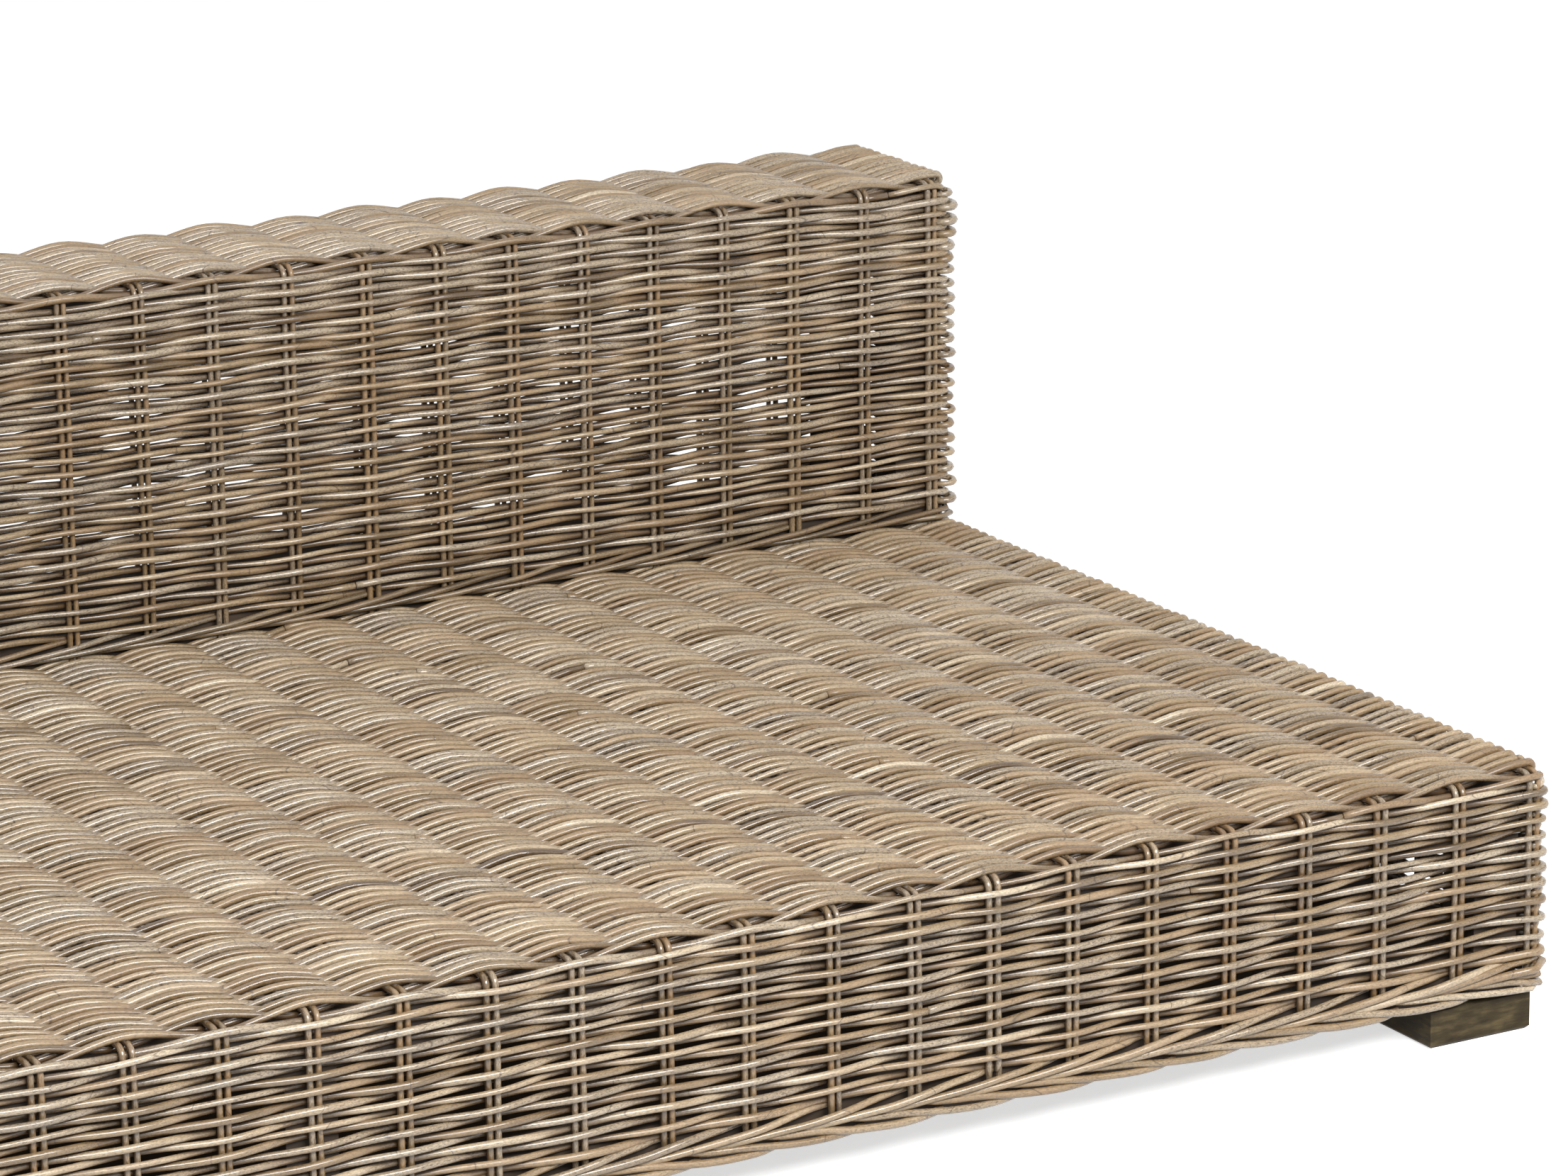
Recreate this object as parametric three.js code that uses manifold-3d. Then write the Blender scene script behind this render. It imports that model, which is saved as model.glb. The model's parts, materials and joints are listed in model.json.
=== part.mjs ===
import * as THREE from 'three';
import { mergeVertices } from 'three/addons/utils/BufferGeometryUtils.js';
import Module from 'manifold-3d';

// Rattan garden sofa: a long, low seat box with a box backrest along its rear edge. Round canes are
// woven over pairs of stakes, round a timber frame that stands on block feet.
// Millimetres. The front faces -Y, +Z is up, and the origin is on the floor under the middle.

const wasm = await Module();
wasm.setup();

// Overall sizes
const sofaLength = 2285; // over the weave, from end to end
const seatDepth = 949; // from the front of the weave to the backrest
const backThickness = 195;
const seatHeight = 233; // floor to the top of the seat weave
const backHeight = 566; // floor to the top of the backrest

// Gap between two pieces that touch on the real sofa
const fit = 0.3;

// Weave: a skin with a rib over every pair of stakes
const stakePitch = 75; // from one pair of stakes to the next
const endOverhang = 13; // from the last pair of a long face to the face round the corner
const sideOverhang = 28; // the same on the faces at the two ends
const skinThickness = 16; // cane, stake and cane
const caneDiameter = 5.5;
const edgeRadiusShare = 0.75; // of the skin's thickness, where canes and stakes turn an edge
const pointsPerPitch = 4;
const edgeSteps = 3;

// Rolled borders that finish the weave
const borderHeight = 30;
const borderProud = 4; // stands out from the weave above it
const borderStrands = 4;
const borderGrooveShare = 0.8; // of a strand's reach, in the grooves between strands
const borderTaper = 24; // length over which an end is tucked in
const borderTipShare = 0.6; // what is left of the border at its very end
const seatBorderHeight = 14; // the twined canes at the foot of the backrest
const seatBorderStrands = 3;

// Timber frame of the seat box
const railDepth = 40;
const railHeight = 40;
const postSide = 44;
const tenonShoulder = 10; // round every tenon
const mortiseWall = 3; // timber left between two mortises of a post
const bearerWidth = 32;
const bearerCount = 5; // bars from front to rear that carry the seat weave

// Timber frame of the backrest
const backRailDepth = 32;
const backRailHeight = 36;
const backPostSide = 36;

// Block feet
const footHeight = 36; // floor to the underside of the frame and the border
const footSide = 103;
const footEdge = 3; // chamfer
const footSetInFront = 11; // from the face of the weave
const footSetInSide = 4;

// Coach bolts
const boltRadius = 4;
const boltHeadRadius = 8;
const boltHeadHeight = 5;
const boltHeadRoom = 1.5; // round a sunk head
const boltSink = 12; // depth of the counterbore under a foot
const boltBite = 26; // length in the piece that it holds
const boltSides = 12;
const backBoltShare = 0.25; // of the length, from the middle to a bolt of the backrest
const cutOverrun = 2; // how far a cutting tool passes the face it starts from

// Colours of the pieces
const finishes = {
  cane: { color: 0x8e7d68, roughness: 0.55, metalness: 0 },
  border: { color: 0x7a6752, roughness: 0.55, metalness: 0 },
  timber: { color: 0xa08560, roughness: 0.75, metalness: 0 },
  foot: { color: 0x3d3426, roughness: 0.6, metalness: 0 },
  steel: { color: 0x9a9a98, roughness: 0.35, metalness: 0.9 },
};

// Planes that the pieces share
const right = sofaLength / 2;
const left = -right;
const rear = (seatDepth + backThickness) / 2;
const front = -rear;
const backFace = rear - backThickness;
const borderDepth = skinThickness + borderProud;
const borderTop = footHeight + borderHeight;
const frameInset = skinThickness + fit; // from a face of the weave to the timber
const seatUnder = seatHeight - skinThickness;
const frameTop = seatUnder - fit;
const backTopUnder = backHeight - skinThickness;
const backFrameTop = backTopUnder - fit;
const edgeRadius = skinThickness * edgeRadiusShare;
const ribDepth = (skinThickness - caneDiameter) / 2; // the weave draws in this far between two pairs

const sofa = new THREE.Group();

function addPiece(name, geometry, finish, z = 0) {
  const mesh = new THREE.Mesh(geometry, new THREE.MeshStandardMaterial(finishes[finish]));
  mesh.name = name;
  mesh.position.z = z;
  sofa.add(mesh);
}

// Faces of the box: s runs along the face, and t goes in from it
const onFront = (s, t) => [s, front + t];
const onRear = (s, t) => [s, rear - t];
const onLeft = (s, t) => [left + t, s];
const onRight = (s, t) => [right - t, s];
const onBackFace = (s, t) => [s, backFace + t];

// Points [s, depth] along a ribbed face from low to high. Pairs of stakes stand at an even pitch
// between the corners of the face, and the weave is drawn in half way between them.
function ribs(low, high, faceLow, faceHigh, overhang) {
  const first = faceLow + overhang;
  const last = faceHigh - overhang;
  const bays = Math.round((last - first) / stakePitch);
  const pitch = (last - first) / bays;
  const depthAt = (s) => {
    if (s <= first || s >= last) return 0;
    return (ribDepth * (1 - Math.cos((2 * Math.PI * (s - first)) / pitch))) / 2;
  };
  const points = [];
  for (let i = 0; i <= bays * pointsPerPitch; i += 1) {
    const s = first + (i * pitch) / pointsPerPitch;
    if (s > low + fit && s < high - fit) points.push([s, depthAt(s)]);
  }
  return { points, depthAt };
}

// Quarter circle of unit radius, from [1, 0] to [0, 1]
function quarter() {
  const points = [];
  for (let i = 0; i <= edgeSteps; i += 1) {
    const angle = (i * Math.PI) / (2 * edgeSteps);
    points.push([Math.cos(angle), Math.sin(angle)]);
  }
  return points;
}

// Upright woven wall. Its plan is ribbed outside and flat inside, and its ends may turn a corner.
function addWall(name, place, span, face, bottom, top, endsTurned) {
  const [low, high] = span;
  const { points, depthAt } = ribs(low, high, ...face);
  const outline = [[low, skinThickness]];
  if (endsTurned) {
    for (const [c, s] of quarter()) {
      outline.push([low + edgeRadius * (1 - c), edgeRadius * (1 - s)]);
    }
  } else {
    outline.push([low, depthAt(low)]);
  }
  outline.push(...points);
  if (endsTurned) {
    for (const [c, s] of quarter().reverse()) {
      outline.push([high - edgeRadius * (1 - c), edgeRadius * (1 - s)]);
    }
  } else {
    outline.push([high, depthAt(high)]);
  }
  outline.push([high, skinThickness]);
  const shape = new THREE.Shape(outline.map(([s, t]) => new THREE.Vector2(...place(s, t))));
  const geometry = new THREE.ExtrudeGeometry(shape, { depth: top - bottom, bevelEnabled: false });
  addPiece(name, geometry, 'cane', bottom);
}

// Closed skin through sections of equal point counts, each a convex ring of [x, y, z]
function loft(sections) {
  const count = sections[0].length;
  const positions = sections.flat(2);
  const indices = [];
  for (let i = 0; i + 1 < sections.length; i += 1) {
    for (let j = 0; j < count; j += 1) {
      const a = i * count + j;
      const b = i * count + ((j + 1) % count);
      indices.push(a, b, b + count, a, b + count, a + count);
    }
  }
  const lastRing = (sections.length - 1) * count;
  for (let j = 1; j + 1 < count; j += 1) {
    indices.push(0, j + 1, j);
    indices.push(lastRing, lastRing + j, lastRing + j + 1);
  }
  const geometry = new THREE.BufferGeometry();
  geometry.setAttribute('position', new THREE.Float32BufferAttribute(positions, 3));
  geometry.setIndex(indices);
  faceOut(geometry);
  return geometry;
}

// Level woven panel along the whole length, ribbed on top, with its edges turned down.
// The rear edge is turned too, or cut off square.
function addPanel(name, yFront, yRear, top, rearTurned) {
  const { points } = ribs(left, right, left, right, endOverhang);
  const leftEdge = quarter().map(([c, s]) => [left + edgeRadius * (1 - c), edgeRadius * (1 - s)]);
  const rightEdge = leftEdge.map(([x, inset]) => [-x, inset]).reverse();
  const stations = [...leftEdge, ...points, ...rightEdge];
  const middle = top - edgeRadius;
  const tipShare = 0.9; // an end stops short of a bare point
  const sections = stations.map(([x, depth]) => {
    const inset = Math.abs(x) > right - edgeRadius ? depth * tipShare : depth;
    const radius = edgeRadius - inset;
    const ring = [[x, yFront + inset, top - skinThickness]];
    for (const [c, s] of quarter()) {
      ring.push([x, yFront + edgeRadius - radius * c, middle + radius * s]);
    }
    if (rearTurned) {
      for (const [c, s] of quarter().reverse()) {
        ring.push([x, yRear - edgeRadius + radius * c, middle + radius * s]);
      }
      ring.push([x, yRear - inset, top - skinThickness]);
    } else {
      ring.push([x, yRear, middle + radius], [x, yRear, top - skinThickness]);
    }
    return ring;
  });
  addPiece(name, loft(sections), 'cane');
}

// Rolled border: strands twisted round each other, so that one strand crests at every pair of stakes
function addBorder(name, place, low, high, bottom, height, strands) {
  const ringStep = stakePitch / 2;
  const rings = Math.max(2, Math.round((high - low - 2 * borderTaper) / ringStep));
  const step = (high - low - 2 * borderTaper) / rings;
  const stations = [low];
  for (let i = 0; i <= rings; i += 1) stations.push(low + borderTaper + i * step);
  stations.push(high);
  const centreDepth = skinThickness - borderDepth / 2;
  const centreHeight = bottom + height / 2;
  const sections = stations.map((s, i) => {
    const reach = i === 0 || i === stations.length - 1 ? borderTipShare : 1;
    const ring = [];
    for (let j = 0; j < 2 * strands; j += 1) {
      const angle = ((j + i) * Math.PI) / strands;
      const share = j % 2 === 0 ? reach : reach * borderGrooveShare;
      const t = centreDepth + (borderDepth / 2) * share * Math.cos(angle);
      ring.push([...place(s, t), centreHeight + (height / 2) * share * Math.sin(angle)]);
    }
    return ring;
  });
  addPiece(name, loft(sections), 'border');
}

// Turns the faces of a closed geometry over if they point inwards, which its signed volume shows
function faceOut(geometry) {
  const index = geometry.getIndex();
  const position = geometry.getAttribute('position');
  const corner = (i) => new THREE.Vector3().fromBufferAttribute(position, index.getX(i));
  let volume = 0;
  for (let i = 0; i < index.count; i += 3) volume += corner(i).dot(corner(i + 1).cross(corner(i + 2)));
  if (volume > 0) return;
  for (let i = 0; i < index.count; i += 3) {
    const first = index.getX(i);
    index.setX(i, index.getX(i + 1));
    index.setX(i + 1, first);
  }
}

function toSolid(geometry) {
  geometry.deleteAttribute('normal');
  geometry.deleteAttribute('uv');
  const merged = mergeVertices(geometry);
  const vertProperties = new Float32Array(merged.getAttribute('position').array);
  const triVerts = new Uint32Array(merged.getIndex().array);
  return new wasm.Manifold(new wasm.Mesh({ numProp: 3, vertProperties, triVerts }));
}

function toGeometry(solid) {
  const mesh = solid.getMesh();
  const geometry = new THREE.BufferGeometry();
  geometry.setAttribute('position', new THREE.BufferAttribute(mesh.vertProperties, 3));
  geometry.setIndex(new THREE.BufferAttribute(mesh.triVerts, 1));
  return geometry;
}

function block([low, high]) {
  const sizes = high.map((value, i) => value - low[i]);
  const geometry = new THREE.BoxGeometry(...sizes);
  return geometry.translate(...low.map((value, i) => value + sizes[i] / 2));
}

// Timber members, gathered first so that every tenon gets its mortise in the member it enters
const members = [];

function addMember(name, low, high, tenonAxis = null, tenonLength = 0) {
  const tenons = [];
  if (tenonAxis !== null) {
    const core = [low.map((v) => v + tenonShoulder), high.map((v) => v - tenonShoulder)];
    for (const outward of [-1, 1]) {
      const tenon = [[...core[0]], [...core[1]]];
      tenon[0][tenonAxis] = outward < 0 ? low[tenonAxis] - tenonLength : high[tenonAxis];
      tenon[1][tenonAxis] = outward < 0 ? low[tenonAxis] : high[tenonAxis] + tenonLength;
      tenons.push(tenon);
    }
  }
  members.push({ name, box: [low, high], tenons });
}

const boltHoles = [];

function overlaps(a, b) {
  return a[0].every((value, i) => value < b[1][i] && b[0][i] < a[1][i]);
}

function addTimber() {
  for (const member of members) {
    let solid = toSolid(block(member.box));
    for (const tenon of member.tenons) solid = solid.add(toSolid(block(tenon)));
    for (const other of members.filter((m) => m !== member)) {
      for (const [low, high] of other.tenons) {
        const mortise = [low.map((v) => v - fit), high.map((v) => v + fit)];
        if (overlaps([low, high], member.box)) solid = solid.subtract(toSolid(block(mortise)));
      }
    }
    for (const hole of boltHoles) {
      if (hole.members.includes(member.name)) solid = solid.subtract(toSolid(hole.geometry()));
    }
    addPiece(member.name, toGeometry(solid), 'timber');
  }
}

// Turned shape round the Z axis from [radius, z] points
function turned(profile, x, y) {
  const points = profile.map(([radius, z]) => new THREE.Vector2(radius, z));
  const geometry = new THREE.LatheGeometry(points, boltSides);
  return geometry.rotateX(Math.PI / 2).translate(x, y, 0);
}

function boltProfile(headFar, headNear, tip, grow) {
  const shank = boltRadius + grow;
  return [
    [0, headFar], [boltHeadRadius, headFar], [boltHeadRadius, headNear],
    [shank, headNear], [shank, tip], [0, tip],
  ];
}

function boltHole(x, y, from, to) {
  const radius = boltRadius + fit;
  return () => turned([[0, from], [radius, from], [radius, to], [0, to]], x, y);
}

// Seat box
const seatEnd = backFace + skinThickness;
const wallTop = seatUnder - fit;
const wallBottom = borderTop + fit;
const ends = [left, right];
const alongLength = [...ends, endOverhang];
const betweenWalls = [front + frameInset, rear - frameInset];
const alongDepth = [front, rear, sideOverhang];

addPanel('seat_weave', front, seatEnd, seatHeight, false);
addWall('front_weave', onFront, ends, alongLength, wallBottom, wallTop, true);
addWall('left_weave', onLeft, betweenWalls, alongDepth, wallBottom, wallTop, false);
addWall('right_weave', onRight, betweenWalls, alongDepth, wallBottom, wallTop, false);
addWall('rear_weave', onRear, ends, alongLength, wallBottom, backFrameTop, true);
const borderEnds = [left - borderProud, right + borderProud];
addBorder('border_front', onFront, ...borderEnds, footHeight, borderHeight, borderStrands);
addBorder('border_rear', onRear, ...borderEnds, footHeight, borderHeight, borderStrands);
addBorder('border_left', onLeft, ...betweenWalls, footHeight, borderHeight, borderStrands);
addBorder('border_right', onRight, ...betweenWalls, footHeight, borderHeight, borderStrands);

// Backrest
const backWalls = [backFace + frameInset, rear - frameInset];
const seatBorderBottom = seatHeight + fit;
const backWallBottom = seatBorderBottom + seatBorderHeight + fit;

addPanel('back_top_weave', backFace, rear, backHeight, true);
addWall('back_front_weave', onBackFace, ends, alongLength, backWallBottom, backFrameTop, true);
addWall('back_left_weave', onLeft, backWalls, alongDepth, seatUnder, backFrameTop, false);
addWall('back_right_weave', onRight, backWalls, alongDepth, seatUnder, backFrameTop, false);
addBorder(
  'back_border_front', onBackFace, ...ends, seatBorderBottom, seatBorderHeight, seatBorderStrands,
);

// Seat frame: posts at the corners, rails with tenons between them, and bars across
const frameX = right - frameInset;
const frameY = rear - frameInset;
const tenonLength = postSide - railDepth + tenonShoulder - mortiseWall;
const shoulderX = frameX - postSide - fit;
const shoulderY = frameY - postSide - fit;
const levels = { lower: [footHeight, footHeight + railHeight], upper: [frameTop - railHeight, frameTop] };

for (const [sideName, sx] of [['left', -1], ['right', 1]]) {
  for (const [endName, sy] of [['front', -1], ['rear', 1]]) {
    const xs = [sx * frameX, sx * (frameX - postSide)].sort((a, b) => a - b);
    const ys = [sy * frameY, sy * (frameY - postSide)].sort((a, b) => a - b);
    addMember(`corner_post_${endName}_${sideName}`, [xs[0], ys[0], footHeight], [xs[1], ys[1], frameTop]);
  }
}
for (const [level, [bottom, top]] of Object.entries(levels)) {
  for (const [endName, sy] of [['front', -1], ['rear', 1]]) {
    const ys = [sy * frameY, sy * (frameY - railDepth)].sort((a, b) => a - b);
    const low = [-shoulderX, ys[0], bottom];
    addMember(`${level}_rail_${endName}`, low, [shoulderX, ys[1], top], 0, tenonLength);
  }
  for (const [sideName, sx] of [['left', -1], ['right', 1]]) {
    const xs = [sx * frameX, sx * (frameX - railDepth)].sort((a, b) => a - b);
    const low = [xs[0], -shoulderY, bottom];
    addMember(`${level}_rail_${sideName}`, low, [xs[1], shoulderY, top], 1, tenonLength);
  }
}
for (const [endName, sy] of [['front', -1], ['rear', 1]]) {
  const ys = [sy * frameY, sy * (frameY - railDepth)].sort((a, b) => a - b);
  const low = [-postSide / 2, ys[0], levels.lower[1] + fit];
  addMember(`middle_post_${endName}`, low, [postSide / 2, ys[1], levels.upper[0] - fit]);
}
const bearerEnd = frameY - railDepth - fit;
for (let i = 0; i < bearerCount; i += 1) {
  const x = ((i + 1) / (bearerCount + 1) - 1 / 2) * sofaLength;
  const low = [x - bearerWidth / 2, -bearerEnd, levels.upper[0]];
  addMember(`seat_bearer_${i + 1}`, low, [x + bearerWidth / 2, bearerEnd, frameTop], 1, tenonLength);
}

// Backrest frame: a front and a rear ladder, joined by a short rail at each end of the top
const backFrameFront = backFace + frameInset;
const backTenonLength = backPostSide - backRailDepth + tenonShoulder - mortiseWall;
const backShoulderX = frameX - backPostSide - fit;
const backLevels = {
  foot: [seatUnder, seatUnder + backRailHeight],
  top: [backFrameTop - backRailHeight, backFrameTop],
};
const ladders = [['front', backFrameFront, 1], ['rear', frameY, -1]];

for (const [ladderName, face, inward] of ladders) {
  const postYs = [face, face + inward * backPostSide].sort((a, b) => a - b);
  const railYs = [face, face + inward * backRailDepth].sort((a, b) => a - b);
  for (const [sideName, sx] of [['left', -1], ['right', 1]]) {
    const xs = [sx * frameX, sx * (frameX - backPostSide)].sort((a, b) => a - b);
    const low = [xs[0], postYs[0], seatUnder];
    addMember(`back_post_${ladderName}_${sideName}`, low, [xs[1], postYs[1], backFrameTop]);
  }
  for (const [level, [bottom, top]] of Object.entries(backLevels)) {
    const low = [-backShoulderX, railYs[0], bottom];
    addMember(`back_${level}_rail_${ladderName}`, low, [backShoulderX, railYs[1], top], 0, backTenonLength);
  }
  const low = [-backPostSide / 2, railYs[0], backLevels.foot[1] + fit];
  addMember(`back_middle_post_${ladderName}`, low, [backPostSide / 2, railYs[1], backLevels.top[0] - fit]);
}
for (const [sideName, sx] of [['left', -1], ['right', 1]]) {
  const xs = [sx * frameX, sx * (frameX - backRailDepth)].sort((a, b) => a - b);
  const low = [xs[0], backFrameFront + backPostSide + fit, backLevels.top[0]];
  const high = [xs[1], frameY - backPostSide - fit, backLevels.top[1]];
  addMember(`back_top_rail_${sideName}`, low, high, 1, backTenonLength);
}

// Feet: chamfered blocks, each held by a bolt whose head is sunk in its underside
function addFoot(place, x, y, boltX, boltY, holds) {
  const half = footSide / 2 - footEdge;
  const shape = new THREE.Shape([
    new THREE.Vector2(-half, -half),
    new THREE.Vector2(half, -half),
    new THREE.Vector2(half, half),
    new THREE.Vector2(-half, half),
  ]);
  const foot = new THREE.ExtrudeGeometry(shape, {
    depth: footHeight - fit - 2 * footEdge,
    bevelThickness: footEdge,
    bevelSize: footEdge,
    bevelSegments: 1,
  });
  foot.translate(x, y, footEdge);
  const sink = boltHeadRadius + boltHeadRoom;
  const shank = boltRadius + fit;
  const hole = turned([
    [0, -cutOverrun], [sink, -cutOverrun], [sink, boltSink],
    [shank, boltSink], [shank, footHeight + cutOverrun], [0, footHeight + cutOverrun],
  ], boltX, boltY);
  addPiece(`foot_${place}`, toGeometry(toSolid(foot).subtract(toSolid(hole))), 'foot');
  const headTop = boltSink - fit;
  const profile = boltProfile(headTop - boltHeadHeight, headTop, footHeight + boltBite, 0);
  addPiece(`foot_bolt_${place}`, turned(profile, boltX, boltY), 'steel');
  const geometry = boltHole(boltX, boltY, footHeight - cutOverrun, footHeight + boltBite + fit);
  boltHoles.push({ members: [holds], geometry });
}

const footX = right - footSetInSide - footSide / 2;
const footY = rear - footSetInFront - footSide / 2;
for (const [endName, sy] of [['front', -1], ['rear', 1]]) {
  for (const [sideName, sx] of [['left', -1], ['right', 1]]) {
    const place = `${endName}_${sideName}`;
    const boltX = sx * (frameX - postSide / 2);
    addFoot(place, sx * footX, sy * footY, boltX, sy * (frameY - postSide / 2), `corner_post_${place}`);
  }
  addFoot(`${endName}_middle`, 0, sy * footY, 0, sy * (frameY - railDepth / 2), `lower_rail_${endName}`);
}

// Two bolts hold the backrest down on the rear rail of the seat frame
const backBoltY = frameY - backRailDepth / 2;
const backBoltTip = frameTop - boltBite;
for (const [sideName, sx] of [['left', -1], ['right', 1]]) {
  const x = sx * sofaLength * backBoltShare;
  const headNear = backLevels.foot[1] + fit;
  const profile = boltProfile(headNear + boltHeadHeight, headNear, backBoltTip, 0).reverse();
  addPiece(`back_bolt_${sideName}`, turned(profile, x, backBoltY), 'steel');
  const geometry = boltHole(x, backBoltY, backBoltTip - fit, headNear + cutOverrun);
  boltHoles.push({ members: ['upper_rail_rear', 'back_foot_rail_rear'], geometry });
}

addTimber();

export default sofa;
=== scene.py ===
import json
import math

import bpy
import numpy as np
from mathutils import Matrix, Vector


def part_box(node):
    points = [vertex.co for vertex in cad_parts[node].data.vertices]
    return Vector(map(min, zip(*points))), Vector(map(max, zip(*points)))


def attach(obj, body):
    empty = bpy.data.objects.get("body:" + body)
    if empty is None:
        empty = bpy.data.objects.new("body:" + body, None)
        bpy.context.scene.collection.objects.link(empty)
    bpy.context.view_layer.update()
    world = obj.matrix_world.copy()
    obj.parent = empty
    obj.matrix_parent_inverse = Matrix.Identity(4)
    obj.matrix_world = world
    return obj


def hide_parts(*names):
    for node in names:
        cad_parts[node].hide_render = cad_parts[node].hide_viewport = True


# The frame, and the planes that every piece is worked out from, in metres
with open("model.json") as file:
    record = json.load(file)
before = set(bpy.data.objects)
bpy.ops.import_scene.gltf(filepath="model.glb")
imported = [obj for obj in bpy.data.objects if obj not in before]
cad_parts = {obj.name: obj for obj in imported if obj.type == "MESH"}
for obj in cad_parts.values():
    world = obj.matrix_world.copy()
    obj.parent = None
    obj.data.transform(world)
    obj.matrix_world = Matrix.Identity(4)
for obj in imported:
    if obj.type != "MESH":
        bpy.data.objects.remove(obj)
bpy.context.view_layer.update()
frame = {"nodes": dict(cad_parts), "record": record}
seatLow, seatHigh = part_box("seat_weave")
topLow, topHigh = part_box("back_top_weave")
_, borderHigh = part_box("border_front")
twineLow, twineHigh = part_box("back_border_front")

proud = 0.006  # how far the canes of the two ends stand out of the solids
left, right = seatLow.x - proud, seatHigh.x + proud
front, rear = seatLow.y, topHigh.y
backFace = topLow.y
lift = {"seat": 0.003, "twine": 0.003, "backrest": 0.007}  # of the canes, above the solids
seatTop, backTop = seatHigh.z + lift["seat"], topHigh.z + lift["backrest"]
print("frame loaded:", len(frame["nodes"]), "nodes")

# The weave: round canes over and under pairs of stakes
weave = {
    "pitch": 0.075,  # from one pair of stakes to the next
    "endOverhang": 0.013,  # from the last pair of a long face to the face round the corner
    "backOverhang": 0.003,  # more on the backrest
    "sideOverhang": 0.028,  # the same on the faces at the two ends
    "cane": 0.0062,  # diameter
    "stake": 0.0056,
    "pairSpacing": 0.0076,  # between the two stakes of a pair
    "stepsPerBay": 8,
    "sides": 8,
    "caneSpread": 0.1,  # of the diameter, from cane to cane
    "caneLimits": (-0.2, 0.16),
    "uneven": 0.03,  # of the diameter, along one cane
    "unevenRate": 31,
    "tones": (0.5, 0.19),  # middle and spread, from 0 for the darkest to 1 for the palest
    "crest": 0.06,  # share of a bay at each end over which a cane stays at its crest
    "beat": 0.0012,  # how much higher a cane lies over a pair than half way, and lower behind one
    "levelSpread": 0.0006,  # how far a cane strays from its row at a pair
    "rowSpread": 0.0003,
    "wave": 0.0016,  # how far neighbouring rows wander together
    "settled": 0.1,  # how much closer the rows lie at the top of a wall, and wider at its foot
    "hiddenSides": 1.14,  # how much thicker the canes are on the ends and the rear
    "shortest": 0.35,  # length of one cane before the next takes over
    "longest": 1.9,
    "fewest": 3,  # rings of a cane
    "jointGap": 0.0016,
    "hiddenJoints": 0.85,  # share of the joints that lie behind a pair
    "cornerRadius": 0.004,
    "cornerSteps": 8,
    "loopWidth": 0.008,  # along the row, of the loop with which a cane stands off at a corner
    "loopSpread": 0.25,
    "lastBay": 0.007,  # how much narrower the bay at each end of a long face is
    "straySeat": 0.0015,  # how far a pair strays along the seat, and along the backrest
    "strayBack": 0.0025,
}
swing = (weave["cane"] + weave["stake"]) / 2  # of a cane's middle, from the plane of the stakes
inset = swing + weave["cane"] / 2  # from a face of the weave to the plane of its stakes
rng = np.random.RandomState(41)


# Bundles gather canes as arrays, and become one mesh at the end
def newBundle():
    return {"verts": [], "space": [], "look": [], "quads": [], "caps": [], "count": 0, "cells": 0}


# Each strip of the bake map shows a stretch of one cane. Margins are shares of a strip.
bakeMap = {"rings": 32, "columns": 0.06, "endMargin": 0.04, "sideMargin": 0.06}
rod = {
    "tip": 0.3,  # how far an end bulges, in radii
    "start": 60,  # each cane shows another part of the texture, up to so far along
    "apart": 3,  # and so far aside
}


# Adds one cane along points. Its normals face out of the weave, and out says how far its middle lies
# from the plane of the stakes.
def addCane(bundle, points, normals, radius, tone, out):
    sides = weave["sides"]
    tone, hue = float(np.clip(tone, 0.02, 0.98)), rng.uniform()
    n = len(points)
    total = n * sides + 2
    radius = np.broadcast_to(radius, (n,))
    tangent = np.gradient(points, axis=0)
    tangent /= np.linalg.norm(tangent, axis=1, keepdims=True)
    up = normals - (normals * tangent).sum(1, keepdims=True) * tangent
    up /= np.linalg.norm(up, axis=1, keepdims=True)
    side = np.cross(tangent, up)
    angle = np.arange(sides) * 2 * math.pi / sides
    turn = up[:, None] * np.cos(angle)[None, :, None] + side[:, None] * np.sin(angle)[None, :, None]
    rings = points[:, None] + turn * radius[:, None, None]
    step = np.linalg.norm(np.diff(points, axis=0), axis=1)
    along = np.concatenate([[0], np.cumsum(step)]) + rng.uniform(0, rod["start"])
    space = np.empty((n, sides, 3))
    space[..., 0] = along[:, None]
    space[..., 1] = radius[:, None] * np.cos(angle) + hue * rod["apart"]
    space[..., 2] = radius[:, None] * np.sin(angle) + tone * rod["apart"]
    firstTip = points[0] - tangent[0] * radius[0] * rod["tip"]
    lastTip = points[-1] + tangent[-1] * radius[-1] * rod["tip"]
    bundle["verts"].append(np.concatenate([rings.reshape(-1, 3), [firstTip, lastTip]]))
    bundle["space"].append(np.concatenate([space.reshape(-1, 3), space[[0, -1], 0]]))
    # Painted shade: the deeper a point lies in the weave, the darker its colour
    height = np.broadcast_to(out, (n,))[:, None] + radius[:, None] * np.cos(angle)
    shadeDepth = np.append((0.5 - height / (2 * inset)).ravel(), [0.5, 0.5])
    bundle["look"].append(np.column_stack([np.full(total, tone), np.full(total, hue), shadeDepth]))
    i, j = np.meshgrid(np.arange(n - 1), np.arange(sides), indexing="ij")
    k = (j + 1) % sides
    base = bundle["count"]
    quad = np.stack([i * sides + j, i * sides + k, (i + 1) * sides + k, (i + 1) * sides + j], -1) + base
    cell = bundle["cells"] + i // bakeMap["rings"]
    place = np.stack([cell, i % bakeMap["rings"], j, np.full_like(i, sides)], -1)
    bundle["quads"].append((quad.reshape(-1, 4), place.reshape(-1, 4)))
    j = np.arange(sides)
    k = (j + 1) % sides
    first = np.stack([np.full(sides, total - 2), k, j], -1) + base
    last = np.stack([np.full(sides, total - 1), (n - 1) * sides + j, (n - 1) * sides + k], -1) + base
    bundle["caps"].append((np.concatenate([first, last]), np.full(2 * sides, bundle["cells"])))
    bundle["cells"] += (n - 2) // bakeMap["rings"] + 1
    bundle["count"] += total


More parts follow.
